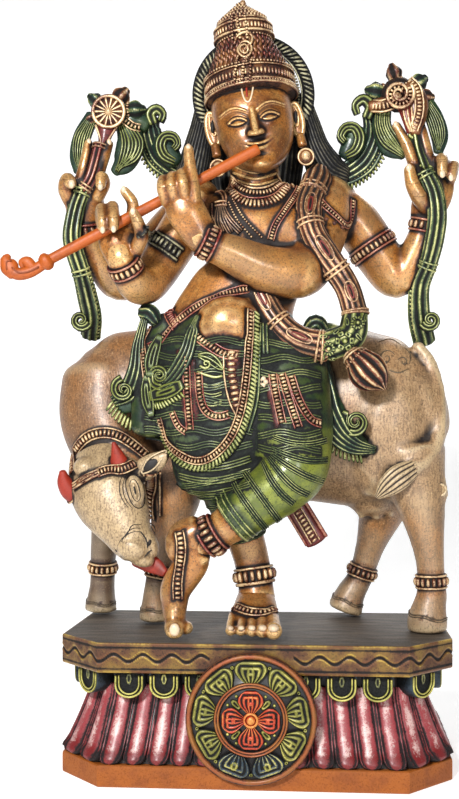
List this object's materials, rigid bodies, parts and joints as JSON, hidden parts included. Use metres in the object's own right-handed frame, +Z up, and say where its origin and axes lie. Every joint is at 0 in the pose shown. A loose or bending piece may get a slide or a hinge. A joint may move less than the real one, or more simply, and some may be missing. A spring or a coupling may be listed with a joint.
{
  "type": "standing figure with cow",
  "caption": "Carved and painted wooden Krishna with four arms, playing a flute in front of a cow, on a lotus plinth.",
  "frame": {"origin": "centre of the plinth's underside", "axes": "+Z up, -Y out of the plinth's front, +X to the viewer's right"},
  "size_m": [0.5253, 0.2447, 0.9148],
  "materials": {
    "painted_carving": "painted wood in brown, gold and green, antiqued with black in the grooves",
    "orange_paint": "satin orange paint",
    "plinth_paint": "painted wood in orange brown, pink red and gold green, antiqued"
  },
  "bodies": {
    "root": {"krishna_and_cow": "painted_carving", "flute": "orange_paint", "lotus_plinth": "plinth_paint"}
  },
  "joints": []
}
